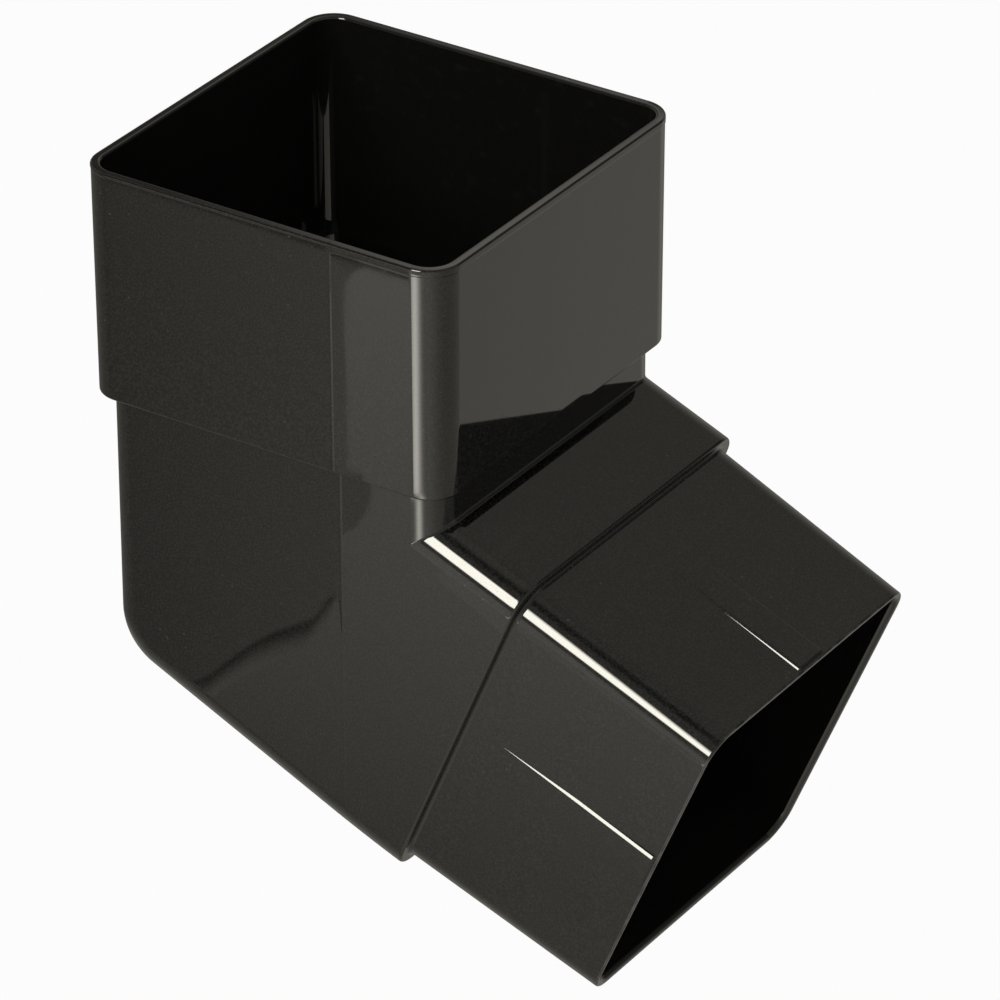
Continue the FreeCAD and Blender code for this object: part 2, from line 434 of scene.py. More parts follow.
dust = nodes.new("ShaderNodeTexVoronoi")
dust.inputs["Scale"].default_value = 480
links.new(coordinates.outputs["Object"], dust.inputs["Vector"])
dust_patches = combined("MULTIPLY", ranged(noise(45, 2), 0.50, 0.66, 0, 1), mark("dusty"))
dust_specks = combined("MULTIPLY", ranged(dust.outputs["Distance"], 0.04, 0.12, 0.8, 0), dust_patches)
plastic_colour = mixed(dust_specks, plastic_colour, (0.045, 0.044, 0.041))

# Knocked edges in grey; on the tip and the rear shoulder this grey is also a painted highlight line
knocks_and_highlight = combined("MULTIPLY", mark("edge_wear_and_highlight"), ranged(noise(420, 4), 0.34, 0.66, 0.1, 1))
plastic_colour = mixed(knocks_and_highlight, plastic_colour, (0.085, 0.083, 0.077))
links.new(plastic_colour, pvc.inputs["Base Color"])
print("colour built from", len(nodes), "nodes")

# %% Roughness and fine waves of the plastic
WAVE_HEIGHT, GRAIN_HEIGHT = 2e-5, 1.5e-7
scuffs = ranged(noise(420, 6), 0.60, 0.78, 0.0, 0.06)
haze = ranged(noise(60, 2), 0.3, 0.7, 0.022, 0.04)
dull_spots = combined("MULTIPLY", combined("ADD", dust_specks, knocks_and_highlight), 0.3)
links.new(combined("ADD", combined("ADD", haze, scuffs), dull_spots), pvc.inputs["Roughness"])

waves = combined("MULTIPLY", noise(38, 1), WAVE_HEIGHT)
grain = combined("MULTIPLY", noise(2600, 2), GRAIN_HEIGHT)
bump = nodes.new("ShaderNodeBump")
bump.inputs["Distance"].default_value = 1.0
links.new(combined("ADD", waves, grain), bump.inputs["Height"])
links.new(bump.outputs["Normal"], pvc.inputs["Normal"])
print("plastic finished with", len(nodes), "nodes")

# %% [markdown]
# ## The loft as a Geometry Nodes tree
# The shape follows one rule from end to end: a rounded square travels along the wall. A grid has one
# row for each station and one column for each section point, and its points are set from both. The
# four fit ramps repeat round the spigot, so one ramp is made and placed four times, then united with
# the wall. A tree does all this with named sizes, where hand-placed faces would have to be redone.

# %% Start the tree and name its inputs
tree = bpy.data.node_groups.new("Elbow moulding", "GeometryNodeTree")
tree.interface.new_socket("Geometry", in_out="OUTPUT", socket_type="NodeSocketGeometry")
tree.interface.new_socket("Stations", in_out="INPUT", socket_type="NodeSocketGeometry")
tree_inputs = {}
for kind, labels in (
    ("Object", ["Section"]), ("Material", ["Plastic"]), ("Int", ["Ramps"]),
    ("Float", ["Ramp width", "Ramp length", "Ramp rise", "Ramp chamfer", "Ramp edge round",
               "Ramp depth in wall", "Ramp end", "Spigot tip half", "Spigot slope"]),
):
    for label in labels:
        socket = tree.interface.new_socket(label, in_out="INPUT", socket_type="NodeSocket" + kind)
        tree_inputs[label] = socket.identifier
group_in = tree.nodes.new("NodeGroupInput")
group_out = tree.nodes.new("NodeGroupOutput")


def geo(kind, settings=None, **inputs):
    """A node of the tree with its settings; inputs are sockets to link or plain values."""
    node = tree.nodes.new(kind)
    for key, value in (settings or {}).items():
        setattr(node, key, value)
    for label, item in inputs.items():
        socket = node.inputs[label.replace("_", " ")]
        if isinstance(item, bpy.types.NodeSocket):
            tree.links.new(item, socket)
        else:
            socket.default_value = item
    return node


def calc(operation, first, second=0.0):
    """One Math node."""
    node = tree.nodes.new("ShaderNodeMath")
    node.operation = operation
    for socket, item in zip(node.inputs, (first, second)):
        if isinstance(item, bpy.types.NodeSocket):
            tree.links.new(item, socket)
        else:
            socket.default_value = item
    return node.outputs["Value"]


def vec(operation, first, second=None, scale=None):
    """One Vector Math node."""
    node = tree.nodes.new("ShaderNodeVectorMath")
    node.operation = operation
    tree.links.new(first, node.inputs[0])
    if second is not None:
        tree.links.new(second, node.inputs[1])
    if scale is not None:
        tree.links.new(scale, node.inputs["Scale"])
    return node.outputs["Vector"]


print("tree inputs:", ", ".join(tree_inputs))

# %% Set every grid point from its station and its section point
WELD_DISTANCE = 1e-6
section_shape = geo("GeometryNodeObjectInfo", Object=group_in.outputs["Section"]).outputs["Geometry"]
station_shape = group_in.outputs["Stations"]


def point_count(shape):
    """How many points a shape has."""
    return geo("GeometryNodeAttributeDomainSize", Geometry=shape).outputs["Point Count"]


rows_closed = calc("ADD", point_count(station_shape), 1)
columns_closed = calc("ADD", point_count(section_shape), 1)
grid = geo("GeometryNodeMeshGrid", Vertices_X=rows_closed, Vertices_Y=columns_closed).outputs["Mesh"]
# A quarter on top of the index keeps the division clear of rounding
grid_index = calc("ADD", geo("GeometryNodeInputIndex").outputs["Index"], 0.25)
row = calc("FLOOR", calc("DIVIDE", grid_index, columns_closed))
column = calc("FLOOR", calc("SUBTRACT", grid_index, calc("MULTIPLY", row, columns_closed)))
row = calc("FLOORED_MODULO", row, point_count(station_shape))
column = calc("FLOORED_MODULO", column, point_count(section_shape))


def sampled(shape, label, index, kind="FLOAT"):
    """An attribute of the stations or of the section, read for each grid point."""
    name = geo("GeometryNodeInputNamedAttribute", {"data_type": kind}, Name=label).outputs["Attribute"]
    sample = geo("GeometryNodeSampleIndex", {"data_type": kind}, Geometry=shape, Value=name, Index=index)
    return sample.outputs["Value"]


corner = sampled(station_shape, "corner", row)
inset = calc("MULTIPLY", corner, sampled(section_shape, "run_in", column))
front_way = vec("SCALE", sampled(station_shape, "front_in", row, "FLOAT_VECTOR"), scale=inset)
back_way = vec("SCALE", sampled(station_shape, "back_in", row, "FLOAT_VECTOR"), scale=inset)
front_point = vec("ADD", sampled(station_shape, "front", row, "FLOAT_VECTOR"), front_way)
back_point = vec("ADD", sampled(station_shape, "back", row, "FLOAT_VECTOR"), back_way)
front_to_back = vec("SUBTRACT", back_point, front_point)
step_back = vec("SCALE", front_to_back, scale=sampled(section_shape, "behind", column))
inset_across = calc("MULTIPLY", corner, sampled(section_shape, "side_in", column))
across = calc("SUBTRACT", sampled(station_shape, "half", row), inset_across)
across = calc("MULTIPLY", across, sampled(section_shape, "side", column))
drop = calc("MULTIPLY", sampled(station_shape, "lip", row), sampled(section_shape, "mould_front", column))
shift = geo("ShaderNodeCombineXYZ", Y=across, Z=calc("MULTIPLY", drop, -1)).outputs["Vector"]
position = vec("ADD", vec("ADD", front_point, step_back), shift)
wall = geo("GeometryNodeSetPosition", Geometry=grid, Position=position).outputs["Geometry"]
wall = geo("GeometryNodeMergeByDistance", Geometry=wall, Distance=WELD_DISTANCE).outputs["Geometry"]
print("wall rule uses", len(tree.nodes), "nodes")

# %% [markdown]
# A fit ramp rises towards the tip and makes the joint tight. It starts as a cube whose points are moved:
# along the ramp they climb and then drop over a chamfer, and across it they bend down at both edges.
# Each edge is a coarse arc with its points pulled in pairs, so that two small flats catch the light.

# %% One fit ramp, in the spigot's own axis
ACROSS_POINTS = 10
FLAT_PULL = 0.16
cube = geo("GeometryNodeMeshCube", Vertices_X=2, Vertices_Y=ACROSS_POINTS, Vertices_Z=3)
cube.inputs["Size"].default_value = (1, 2, 1)
spot = geo("ShaderNodeSeparateXYZ", Vector=geo("GeometryNodeInputPosition").outputs["Position"])
is_top = calc("ADD", spot.outputs["X"], 0.5)
rising = calc("MINIMUM", calc("MULTIPLY", calc("ADD", spot.outputs["Z"], 0.5), 2), 1)
falling = calc("MAXIMUM", calc("MULTIPLY", spot.outputs["Z"], 2), 0)
size_of = group_in.outputs
chamfer = size_of["Ramp chamfer"]
edge_round = size_of["Ramp edge round"]
climb = calc("SUBTRACT", size_of["Ramp length"], chamfer)
ramp_start = calc("SUBTRACT", size_of["Ramp end"], size_of["Ramp length"])
over_chamfer = calc("MULTIPLY", falling, chamfer)
reach = calc("ADD", ramp_start, calc("ADD", calc("MULTIPLY", rising, climb), over_chamfer))
rise = calc("SUBTRACT", calc("MULTIPLY", rising, size_of["Ramp rise"]), over_chamfer)
flat_share = 1 / (ACROSS_POINTS - 1)
off_flat = calc("MAXIMUM", calc("SUBTRACT", calc("ABSOLUTE", spot.outputs["Y"]), flat_share), 0)
even_angle = calc("MULTIPLY", off_flat, math.pi / 2 / (1 - flat_share))
pull = calc("MULTIPLY", calc("SINE", calc("MULTIPLY", even_angle, 4)), FLAT_PULL)
edge_angle = calc("SUBTRACT", even_angle, pull)
edge_drop = calc("SUBTRACT", edge_round, calc("MULTIPLY", edge_round, calc("COSINE", edge_angle)))
half_flat = calc("SUBTRACT", calc("MULTIPLY", size_of["Ramp width"], 0.5), edge_round)
half_across = calc("ADD", half_flat, calc("MULTIPLY", edge_round, calc("SINE", edge_angle)))
ramp_y = calc("MULTIPLY", half_across, calc("SIGN", spot.outputs["Y"]))
to_tip = calc("SUBTRACT", TIP_REACH * MM, reach)
face = calc("ADD", size_of["Spigot tip half"], calc("MULTIPLY", to_tip, size_of["Spigot slope"]))
root = calc("SUBTRACT", face, size_of["Ramp depth in wall"])
ramp_top = calc("SUBTRACT", calc("ADD", face, rise), edge_drop)
ramp_x = calc("ADD", root, calc("MULTIPLY", is_top, calc("SUBTRACT", ramp_top, root)))
ramp_place = geo("ShaderNodeCombineXYZ", X=ramp_x, Y=ramp_y, Z=reach).outputs["Vector"]
ramp = geo("GeometryNodeSetPosition", Geometry=cube.outputs["Mesh"], Position=ramp_place)
print("ramp rule added, tree has", len(tree.nodes), "nodes")

# %% Four ramps round the lower axis, united with the wall
spots = geo("GeometryNodeMeshLine", Count=group_in.outputs["Ramps"])
spots.inputs["Offset"].default_value = (0, 0, 0)
full_turn = calc("DIVIDE", math.tau, group_in.outputs["Ramps"])
turn = calc("MULTIPLY", geo("GeometryNodeInputIndex").outputs["Index"], full_turn)
turn_vector = geo("ShaderNodeCombineXYZ", Z=turn).outputs["Vector"]
turn_rotation = geo("FunctionNodeEulerToRotation", Euler=turn_vector).outputs["Rotation"]
ramps = geo(
    "GeometryNodeInstanceOnPoints", Points=spots.outputs["Mesh"], Instance=ramp.outputs["Geometry"],
    Rotation=turn_rotation)
ramps = geo("GeometryNodeRealizeInstances", Geometry=ramps.outputs["Instances"]).outputs["Geometry"]
on_axis = geo("GeometryNodeTransform", Geometry=ramps)
on_axis.inputs["Translation"].default_value = crossing * MM
on_axis.inputs["Rotation"].default_value = (0, BEND_ANGLE, 0)
union = geo("GeometryNodeMeshBoolean", {"operation": "UNION", "solver": "EXACT"})
tree.links.new(wall, union.inputs["Mesh 2"])
tree.links.new(on_axis.outputs["Geometry"], union.inputs["Mesh 2"])
whole = geo("GeometryNodeRealizeInstances", Geometry=union.outputs["Mesh"]).outputs["Geometry"]
whole = geo("GeometryNodeSetShadeSmooth", Geometry=whole).outputs["Geometry"]
whole = geo("GeometryNodeSetMaterial", Geometry=whole, Material=group_in.outputs["Plastic"])
tree.links.new(whole.outputs["Geometry"], group_out.inputs["Geometry"])
print("tree finished with", len(tree.nodes), "nodes")

# %% Run the tree and keep a plain mesh
RAMP_SETBACK = 0.6
moulding = spine.modifiers.new("Elbow moulding", "NODES")
moulding.node_group = tree
for label, value in (
    ("Section", section), ("Plastic", black_pvc), ("Ramp width", 7.9 * MM), ("Ramp length", 33.0 * MM),
    ("Ramp rise", 0.54 * MM), ("Ramp chamfer", 0.35 * MM), ("Ramp edge round", 0.95 * MM),
    ("Ramp depth in wall", 1.2 * MM), ("Spigot tip half", (SPIGOT_ROOT_HALF - SPIGOT_TAPER) * MM),
    ("Spigot slope", SPIGOT_TAPER / SPIGOT_LENGTH), ("Ramp end", (TIP_REACH - RAMP_SETBACK) * MM),
    ("Ramps", 4),
):
    moulding[tree_inputs[label]] = value


def made_plain(piece):
    """Turns what the modifiers give into the piece's own mesh and removes them."""
    evaluated = piece.evaluated_get(bpy.context.evaluated_depsgraph_get())
    mesh = bpy.data.meshes.new_from_object(evaluated)
    piece.modifiers.clear()
    piece.data = mesh
    return mesh


elbow_mesh = made_plain(spine)
bpy.data.objects.remove(section)
print("moulding:", len(elbow_mesh.vertices), "points,", len(elbow_mesh.polygons), "faces")

# %% [markdown]
# ## The parting line
# Where the two halves of the mould meet, a hair-thin ridge stays on the outside of both side walls.
# It could be a bump in the material, but a real edge catches light from every angle. The mesh is cut
# along three close planes, and only the middle cut on the outer walls is raised. The front flank is the
# steeper one and shows as a light line. On the body the ridge is lower.

# %% Raise a fine ridge at the parting line
SOCKET_RIDGE, BODY_RIDGE = 0.024, 0.012
ON_PLANE, WALL_MARGIN, LIP_MARGIN, FLOOR_MARGIN = 0.01, 0.1, 0.05, 0.2
work = bmesh.new()
work.from_mesh(elbow_mesh)
for shift in (-RIDGE_REAR, 0, RIDGE_FRONT):
    plane_point = Vector(((PARTING_X + shift) * MM, 0, 0))
    everything = work.verts[:] + work.edges[:] + work.faces[:]
    bmesh.ops.bisect_plane(work, geom=everything, dist=1e-7, plane_co=plane_point, plane_no=(1, 0, 0))
raised = 0
for vertex in work.verts:
    x, y, z = vertex.co / MM
    on_socket = z > SOCKET_FLOOR + FLOOR_MARGIN
    outer = (SOCKET_HALF if on_socket else BODY_HALF) - WALL_MARGIN
    below_lip = z < SOCKET_DEPTH - LIP_FRONT - LIP_MARGIN
    if abs(x - PARTING_X) < ON_PLANE and abs(y) > outer and below_lip:
        vertex.co.y += math.copysign((SOCKET_RIDGE if on_socket else BODY_RIDGE) * MM, y)
        raised += 1
if work.calc_volume(signed=True) < 0:
    bmesh.ops.reverse_faces(work, faces=work.faces)
print("ridge points:", raised, " volume in cm3:", round(work.calc_volume() * 1e6, 2))
print("open edges:", sum(not edge.is_manifold for edge in work.edges))
work.to_mesh(elbow_mesh)
work.free()

# %% [markdown]
# ## Shading, wear and a painted edge highlight
# Smooth shading alone would bend the reflections on the flat walls. Edges that turn by more than a small
# angle stay hard, and normals weighted by face size keep each wall flat. Values on the points then tell
# the material where edges are worn and carry a painted highlight, where dust lies and which wall faces
# outwards.

# %% Smooth shading that keeps the flats flat
SHARP_ANGLE = math.radians(13)
for polygon in elbow_mesh.polygons:
    polygon.use_smooth = True
elbow_mesh.set_sharp_from_angle(angle=SHARP_ANGLE)
ridge_lines = [(PARTING_X + shift) * MM for shift in (0, RIDGE_FRONT)]
for edge in elbow_mesh.edges:
    ends = [elbow_mesh.vertices[i].co.x for i in edge.vertices]
    if any(max(abs(x - line) for x in ends) < 1e-6 for line in ridge_lines):
        edge.use_edge_sharp = True
weighted = spine.modifiers.new("Weighted normals", "WEIGHTED_NORMAL")
weighted.mode = "FACE_AREA"
weighted.keep_sharp = True
elbow_mesh = made_plain(spine)
print("triangles:", sum(len(p.vertices) - 2 for p in elbow_mesh.polygons))

# %% Mark worn edges with their painted highlight, dusty sides and the outside
# Bands at the tip and the shoulder, and their grey: wear and also a painted highlight line
TIP_BAND, TIP_EDGE, TIP_WEAR_AND_HIGHLIGHT = 0.3, 0.45, 0.7
SHOULDER_MIDDLE, SHOULDER_BAND, SHOULDER_EDGE, SHOULDER_WEAR_AND_HIGHLIGHT = 0.15, 0.2, 0.5, 0.15
wear_and_highlight = elbow_mesh.attributes.new("edge_wear_and_highlight", "FLOAT", "POINT")
dusty = elbow_mesh.attributes.new("dusty", "FLOAT", "POINT")
outside = elbow_mesh.attributes.new("outside", "FLOAT", "POINT")
marked = 0
for vertex in elbow_mesh.vertices:
    place = vertex.co / MM
    dusty.data[vertex.index].value = float(vertex.normal.y * place.y > 0)
    reach = (place - crossing).dot(along)
    from_axis = place - crossing - along * reach if reach > 0 else Vector((place.x, place.y, 0))
    outside.data[vertex.index].value = float(vertex.normal.dot(from_axis) >= 0)
    half_out = max(abs((place - crossing).dot(upward)), abs(place.y))
    at_tip = reach > TIP_REACH - TIP_BAND and half_out > spigot_half(TIP_REACH) - TIP_EDGE
    near_shoulder = abs(place.z - SOCKET_FLOOR - SHOULDER_MIDDLE) < SHOULDER_BAND
    at_shoulder = near_shoulder and max(abs(place.x), abs(place.y)) > SOCKET_HALF - SHOULDER_EDGE
    # Tip edge and rear shoulder: grey for wear, which also paints a thin highlight line
    if at_tip or (at_shoulder and place.x < PARTING_X):
        wear_and_highlight.data[vertex.index].value = TIP_WEAR_AND_HIGHLIGHT if at_tip else SHOULDER_WEAR_AND_HIGHLIGHT
        marked += 1
print("points marked as worn:", marked)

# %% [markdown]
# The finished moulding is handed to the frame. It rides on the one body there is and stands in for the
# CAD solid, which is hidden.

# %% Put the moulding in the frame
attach(spine, "root")
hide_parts("downspout_elbow")
print("moulding rides on root")

# %% [markdown]
# ## Camera
# The photo was taken from above and to the right with a long lens, so the edges hardly converge. The
# camera's place and turn come from edges measured in the photo, written as the directions of its
# right, up and back axes.

# %% Camera at the photo's angle
camera_data = bpy.data.cameras.new("photo_camera")
camera_data.sensor_width = 36
camera_data.lens = 243.286
camera_data.clip_end = 50
camera = bpy.data.objects.new("photo_camera", camera_data)
camera_right = Vector((0.83544720, 0.54956885, -0.00143462))
camera_up = Vector((-0.27187397, 0.41556500, 0.86798058))
camera_back = Vector((0.47761126, -0.72476190, 0.49659608))
camera_place = Vector((0.56715026, -0.82464164, 0.54373527))
turn_to_view = Matrix((camera_right, camera_up, camera_back)).transposed().to_4x4()
camera.matrix_world = Matrix.Translation(camera_place) @ turn_to_view
bpy.context.scene.collection.objects.link(camera)
bpy.context.scene.camera = camera
print("camera", round(camera_place.length, 3), "m from the origin")

# %% [markdown]
# ## Floor and backdrop
# The elbow is held by its socket, so the floor lies some way below it. A white floor and a white
# surround are what a product table gives. Camera, glossy and see-through rays meet plain white, and
# part of the floor stays an ordinary lit surface, so that it keeps the elbow's soft shadow.

# %% White floor and surround
FLOOR_HEIGHT, FLOOR_SPAN = -0.58, 6.0
WHITE_SHARE = 0.94


def white_for_view(tree_nodes, tree_links):
    """One where a ray comes from the camera, a reflection or a clear material, else zero."""
    path = tree_nodes.new("ShaderNodeLightPath")
    total = path.outputs["Is Camera Ray"]
    for label in ("Is Glossy Ray", "Is Transmission Ray"):
        most = tree_nodes.new("ShaderNodeMath")
        most.operation = "MAXIMUM"
        tree_links.new(total, most.inputs[0])
        tree_links.new(path.outputs[label], most.inputs[1])
        total = most.outputs["Value"]
    return total


floor_paint, floor_nodes, floor_links = new_material("white_table")
table = floor_nodes["Principled BSDF"]
table.inputs["Roughness"].default_value = 0.6
table.inputs["Base Color"].default_value = (0.9, 0.9, 0.9, 1)
glow = floor_nodes.new("ShaderNodeEmission")
share = floor_nodes.new("ShaderNodeMath")
share.operation = "MULTIPLY"
share.inputs[1].default_value = WHITE_SHARE
floor_links.new(white_for_view(floor_nodes, floor_links), share.inputs[0])
blend = floor_nodes.new("ShaderNodeMixShader")
floor_links.new(share.outputs["Value"], blend.inputs["Fac"])
floor_links.new(table.outputs["BSDF"], blend.inputs[1])
floor_links.new(glow.outputs["Emission"], blend.inputs[2])
floor_links.new(blend.outputs["Shader"], floor_nodes["Material Output"].inputs["Surface"])

floor_mesh = bpy.data.meshes.new("white_table")
corner_signs = ((-1, -1), (1, -1), (1, 1), (-1, 1))
floor_points = [(x * FLOOR_SPAN, y * FLOOR_SPAN, FLOOR_HEIGHT) for x, y in corner_signs]
floor_mesh.from_pydata(floor_points, [], [(0, 1, 2, 3)])
floor_mesh.materials.append(floor_paint)
floor = bpy.data.objects.new("white_table", floor_mesh)
bpy.context.scene.collection.objects.link(floor)

world = bpy.data.worlds.new("white_surround")
bpy.context.scene.world = world
world.use_nodes = True
world_nodes, world_links = world.node_tree.nodes, world.node_tree.links
sky = world_nodes["Background"]
sky.inputs["Color"].default_value = (1, 1, 1, 1)
level = world_nodes.new("ShaderNodeMapRange")
level.inputs["To Min"].default_value = 0.5
level.inputs["To Max"].default_value = 1.0
world_links.new(white_for_view(world_nodes, world_links), level.inputs["Value"])
world_links.new(level.outputs["Result"], sky.inputs["Strength"])
print("floor at", FLOOR_HEIGHT, "m")

# %% [markdown]
# ## Lights
# Black gloss shows its surroundings more than its colour. One soft lamp in front lights the scene at
# a plain level. The shapes that run along the edges are reflections of cards, as a product
# photographer sets them: a bright panel in front for the white edge, a lower one for the upright
# corner, and grey cards that keep the flat walls dark.

# %% Soft key lamp
key_data = bpy.data.lights.new("key_lamp", "AREA")
key_data.shape = "RECTANGLE"
key_data.size, key_data.size_y = 0.9, 0.6
key_data.energy = 12
key = bpy.data.objects.new("key_lamp", key_data)
key.location = (-0.15, -1.1, 0.75)
key.rotation_euler = (Vector((0.02, 0, -0.02)) - key.location).to_track_quat("-Z", "Y").to_euler()
key.visible_glossy = False
bpy.context.scene.collection.objects.link(key)
print("key lamp:", key_data.energy, "W")

# %% A card that only reflections see


def card_paint():
    """Light whose strength is the mesh attribute "glow", in the slightly warm white of the studio."""
    paint, paint_nodes, paint_links = new_material("card_light")
    paint_nodes.remove(paint_nodes["Principled BSDF"])
    level = paint_nodes.new("ShaderNodeAttribute")
    level.attribute_name = "glow"
    light = paint_nodes.new("ShaderNodeEmission")
    light.inputs["Color"].default_value = (1.0, 0.972, 0.865, 1)
    paint_links.new(level.outputs["Fac"], light.inputs["Strength"])
    paint_links.new(light.outputs["Emission"], paint_nodes["Material Output"].inputs["Surface"])
    paint.cycles.emission_sampling = "NONE"
    return paint


card_light = card_paint()


def reflector(name, points, faces, glows):
    """A stage mesh that lights nothing and shows only in reflections, with a brightness at each point."""
    mesh = bpy.data.meshes.new(name)
    mesh.from_pydata(points, [], faces)
    mesh.attributes.new("glow", "FLOAT", "POINT").data.foreach_set("value", glows)
    mesh.materials.append(card_light)
    piece = bpy.data.objects.new(name, mesh)
    bpy.context.scene.collection.objects.link(piece)
    for ray in ("camera", "diffuse", "transmission", "shadow", "volume_scatter"):
        setattr(piece, "visible_" + ray, False)


print("card paint:", card_light.name)

# %% [markdown]
# The tent stands all round the elbow. Its cloth is grey where no lamp stands behind it and bright
# where one does. Each soft patch is a centre, a spread and a level, laid over the ones before it.
# Low down the cloth lies on the floor.

# %% Light tent with soft patches
TENT_CENTRE, TENT_RADIUS = Vector((0.02, 0.0, -0.02)), 1.1
TENT_STEP = 2
TENT_GREY, ABOVE_FLOOR = 0.41, 0.01


def box_patch(azimuth, elevation, centre, spread, soft):
    """One inside a range of directions, falling to zero over the soft angle round it."""
    off = abs((azimuth - centre[0] + 180) % 360 - 180) - spread[0], abs(elevation - centre[1]) - spread[1]
    inside = [min(max(0.5 - o / soft, 0), 1) for o in off]
    return inside[0] * inside[1]


def round_patch(azimuth, elevation, centre, spread):
    """One at the centre, falling off like a bell curve."""
    off = ((azimuth - centre[0] + 180) % 360 - 180) / spread[0], (elevation - centre[1]) / spread[1]
    return math.exp(-(off[0] ** 2 + off[1] ** 2) / 2)


def tent_glow(azimuth, elevation):
    """Brightness in one direction; a patch has its shape, level, centre, spread and soft edge."""
    glow = TENT_GREY
    for shape, level, *where in (
        (box_patch, 0.50, (90, -35), (75, 35), 20),
        (box_patch, 0.66, (160, -30), (16, 14), 10),  # seen in the front wall
        (round_patch, 1.25, (14, -32), (30, 22)),
        (round_patch, 0.26, (-95, -30), (40, 35)),
        (round_patch, 0.14, (-130, -25), (22, 16)),
        (round_patch, 0.22, (-158, -28), (14, 14)),
        (box_patch, 0.48, (-68, -58), (46, 21), 8),
        (box_patch, 0.45, (-172, 14), (14, 16), 10),
        (round_patch, 0.35, (178, 46), (14, 6)),  # seen in the top of the spigot
        (box_patch, 0.12, (-146, 31), (18, 11), 6),  # seen in the left of the rim
        (box_patch, 0.95, (-152, 37), (8.4, 8.3), 5),  # seen in the right of the rim
        (box_patch, 0.16, (142, 4), (18, 16), 10),
        (box_patch, 0.10, (150, 29), (15, 10), 6),
        (box_patch, 0.13, (-48, 38), (22, 22), 8),
        (box_patch, 1.3, (-22, -14), (14, 15), 6),
        (box_patch, 0.5, (-10, 5), (30, 5), 4),
        (box_patch, 0.12, (14, 62), (45, 8), 10),
        (box_patch, 0.52, (0, 84), (180, 8), 6),
        (box_patch, 24.0, (-7, 24.6), (13, 13.0), 2),  # bright panel, the white line on the spigot
    ):
        share = shape(azimuth, elevation, *where)
        glow = glow * (1 - share) + level * share
    return glow


def tent_point(azimuth, elevation):
    """Place on the tent; azimuth runs from the front towards +X, elevation from the horizon."""
    a, e = math.radians(azimuth), math.radians(elevation)
    way = Vector((math.sin(a) * math.cos(e), -math.cos(a) * math.cos(e), math.sin(e)))
    lowest = FLOOR_HEIGHT + ABOVE_FLOOR - TENT_CENTRE.z
    reach = TENT_RADIUS if way.z * TENT_RADIUS > lowest else lowest / way.z
    return TENT_CENTRE + way * reach


azimuths = range(-180, 181, TENT_STEP)
elevations = range(-88, 91, TENT_STEP)
tent_points = [tent_point(a, e) for a in azimuths for e in elevations]
tent_glows = [tent_glow(a, e) for a in azimuths for e in elevations]
count = len(elevations)
tent_faces = [
    (i * count + j, i * count + j + 1, (i + 1) * count + j + 1, (i + 1) * count + j)
    for i in range(len(azimuths) - 1) for j in range(count - 1)
]
reflector("light_tent", tent_points, tent_faces, tent_glows)
print("tent faces:", len(tent_faces))

# %% [markdown]
# The long side wall mirrors one small patch of the studio, so its brightness needs cards close by. A
# pale card lights the front mould half and the collar, and grey ones in front of it keep the rear half
# dark. Each is drawn as it appears in the wall, then moved out along the mirrored sight lines.

# %% Cards seen in the socket's side wall


def mirrored(point, normal, distance):
    """Place that the camera sees mirrored at a point of the elbow, in millimetres, with this normal."""
    point = point * MM
    sight = (point - camera_place).normalized()
    return point + (sight - normal * (2 * sight.dot(normal))) * distance


SOCKET_DRAFT = (MOUTH_HALF - SOCKET_HALF) / (SOCKET_DEPTH - SOCKET_FLOOR)


def side_card(name, plane, outline, distance, glow, draft=0.0):
    """A card by its outline in a side wall; plane is how far out the wall lies, draft how it widens."""
    normal = Vector((0, -1, -draft)).normalized()
    points = [mirrored(Vector((x, -plane, z)), normal, distance) for x, z in outline]
    reflector(name, points, [tuple(range(len(points)))], [glow(x, z) for x, z in outline])


PALE_FOOT = -72
PALE_DISTANCE, GREY_DISTANCE = 0.26, 0.22


def pale_glow(x, z):
    """Brighter upwards and towards the front."""
    return 0.50 + 0.0071 * max(z - PALE_FOOT, 0) + 0.0020 * (x - 20)


def grey_glow(x, z):
    """Brighter towards the front, and a little upwards."""
    return 0.36 + 0.0046 * (x + 29) + 0.0008 * z


pale_outline = [
    (-60, 60), (30.6, 60), (30.6, -2), (32, -6), (40, -8), (63.5, -10), (101, -20), (110, -40),
    (102, PALE_FOOT), (-60, PALE_FOOT),
]
side_card("pale_side_card", SOCKET_HALF, pale_outline, PALE_DISTANCE, pale_glow, SOCKET_DRAFT)
foot_outline = [(102, PALE_FOOT), (95, -150), (-60, -150), (-60, PALE_FOOT)]
side_card("pale_foot_card", SOCKET_HALF, foot_outline, PALE_DISTANCE, pale_glow, SOCKET_DRAFT)
grey_outline = [
    (-30, 60), (40, 60), (40, 38.8), (22, 38.4), (19.6, 37), (18, 34.5), (17.6, 30), (17.6, -1.9),
    (-30, -1.9),
]
side_card("grey_socket_card", SOCKET_HALF, grey_outline, GREY_DISTANCE, grey_glow, SOCKET_DRAFT)
rear_outline = [(-110, 60), (-30, 60), (-30, -78), (-110, -78)]
side_card("rear_corner_card", SOCKET_HALF, rear_outline, 0.222, lambda x, z: 0.345 + 0.0006 * (x + 30))
lip_outline = [(-30, 39.3), (14.2, 39.1), (14.2, 42), (-30, 42)]
side_card("lip_shade_card", SOCKET_HALF, lip_outline, 0.215, lambda x, z: 0.24, SOCKET_DRAFT)
foot_line = [(14.6, 39.2), (30.6, 39.3), (30.6, 38.65), (14.6, 38.55)]
side_card("lip_foot_card", SOCKET_HALF, foot_line, 0.205, lambda x, z: 0.14, SOCKET_DRAFT)
band_outline = [(14.5, -1.9), (17.6, -1.9), (17.6, 34), (19, 36.5), (14.5, 38)]
side_card("band_side_card", SOCKET_HALF, band_outline, 0.21, lambda x, z: 0.70, SOCKET_DRAFT)
print("socket side cards placed")

# %% [markdown]
# In the body's side wall the dark cloth ends in a wavy edge with a soft fold below it. The edge is drawn
# as an outline, and the fold as a strip of rows that follow it, each with its own brightness.

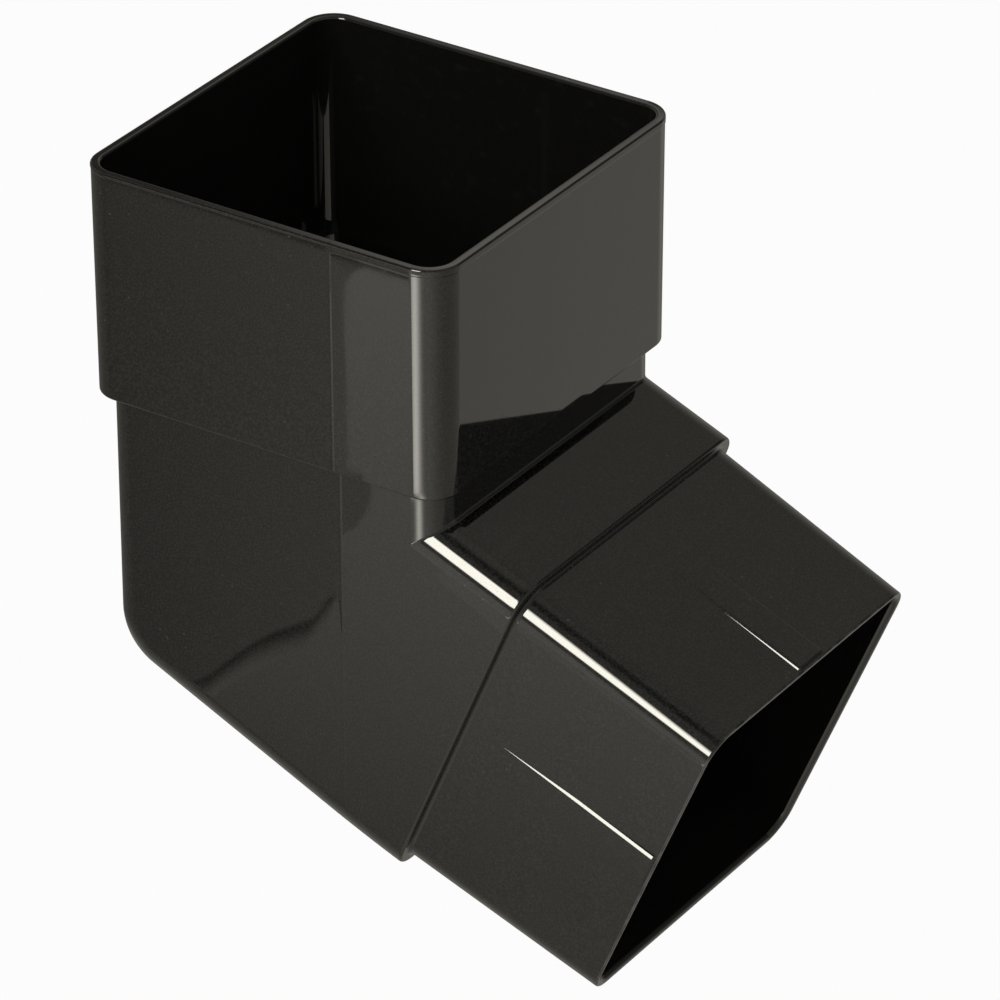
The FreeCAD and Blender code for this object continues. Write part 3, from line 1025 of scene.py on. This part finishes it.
# %% Cards seen in the body's side wall
cloth_edge = [
    (14.5, -31), (14.5, -27.9), (13.0, -27.3), (11.6, -28.3), (10.2, -30.8), (8.3, -33.6), (5.5, -35.4),
    (0.9, -38.3), (-3.9, -42.1), (-8.7, -46.8), (-12.6, -51.2), (-16.0, -53.9), (-23, -58), (-30, -62),
]
side_card("grey_body_card", BODY_HALF, [(-30, -1), (14.5, -1)] + cloth_edge, GREY_DISTANCE, grey_glow)
shade_outline = [(14.5, -1.5), (21, -1.5), (20.8, -6), (19.5, -9.5), (17.5, -12.5), (14.5, -14.8)]
side_card("shade_body_card", BODY_HALF, shade_outline, 0.218, lambda x, z: 0.60)

# Rows of the fold: how far above its edge, in millimetres, and how bright
FOLD_LEAN, FOLD_DISTANCE = 0.35, 0.215
FOLD_ROWS = (
    (1.2, 0.43), (0.4, 0.16), (-0.5, 0.15), (-1.2, 0.27), (-1.9, 0.30), (-3.0, 0.48), (-4.4, 0.62),
    (-7.0, 0.74),
)
fold_points, fold_glows = [], []
for drop, glow in FOLD_ROWS:
    for x, z in cloth_edge[2:]:
        spot = Vector((x + drop * FOLD_LEAN, -BODY_HALF, z + drop))
        fold_points.append(mirrored(spot, Vector((0, -1, 0)), FOLD_DISTANCE))
        fold_glows.append(glow)
wide = len(cloth_edge[2:])
fold_faces = [
    (r * wide + c, r * wide + c + 1, (r + 1) * wide + c + 1, (r + 1) * wide + c)
    for r in range(len(FOLD_ROWS) - 1) for c in range(wide - 1)
]
reflector("cloth_fold_card", fold_points, fold_faces, fold_glows)

edge_outline = []
for reach, rise in ((26, 27.6), (40, 26.7), (82, 25.6), (82, 42), (52, 40), (42, 36), (26, 33)):
    spot = lower_point(reach, rise)
    edge_outline.append((spot.x, spot.z))
side_card("lower_edge_card", SPIGOT_ROOT_HALF, edge_outline, 0.05, lambda x, z: 1.05)
print("body side cards placed")

# %% [markdown]
# The upright corner is a narrow round, so it shows a wide part of the studio as one thin line. Its soft
# light line comes from a card that is drawn by the angle round the corner at which its light is seen.

# %% Two cards seen in the upright corner
CORNER_GLOW = 1.1


def corner_card(name, half, corner, heights, distance, bright_angle, spread, level, draft=0.0):
    """A soft upright card, drawn by where its light falls round the corner between side and front."""
    centre = half - corner
    angles = [half_degree * 0.5 for half_degree in range(8, 61)]
    points, glows = [], []
    for height in heights:
        for angle in angles:
            turn = math.radians(angle)
            normal = Vector((math.sin(turn), -math.cos(turn), -draft)).normalized()
            points.append(mirrored(Vector((centre, -centre, height)) + normal * corner, normal, distance))
            glows.append(CORNER_GLOW + level * math.exp(-((angle - bright_angle) / spread) ** 2 / 2))
    n = len(angles)
    faces = [(i, i + 1, i + n + 1, i + n) for i in range(n - 1)]
    reflector(name, points, faces, glows)


corner_card(
    "socket_corner_card", half=35.8, corner=5.8, heights=(-1.9, 41), distance=0.9, bright_angle=10.0,
    spread=5.3, level=7.2, draft=SOCKET_DRAFT)
corner_card(
    "body_corner_card", half=BODY_HALF, corner=BODY_CORNER, heights=(-14, -3.3), distance=0.3,
    bright_angle=19.0, spread=3.9, level=6.1)
print("corner cards placed")

# %% [markdown]
# Last, the colours are shown through the plain Standard view transform. Both boxes are written down side
# by side
# before the scene is handed over.

# %% Plain view transform and finish
bpy.context.scene.view_settings.view_transform = "Standard"
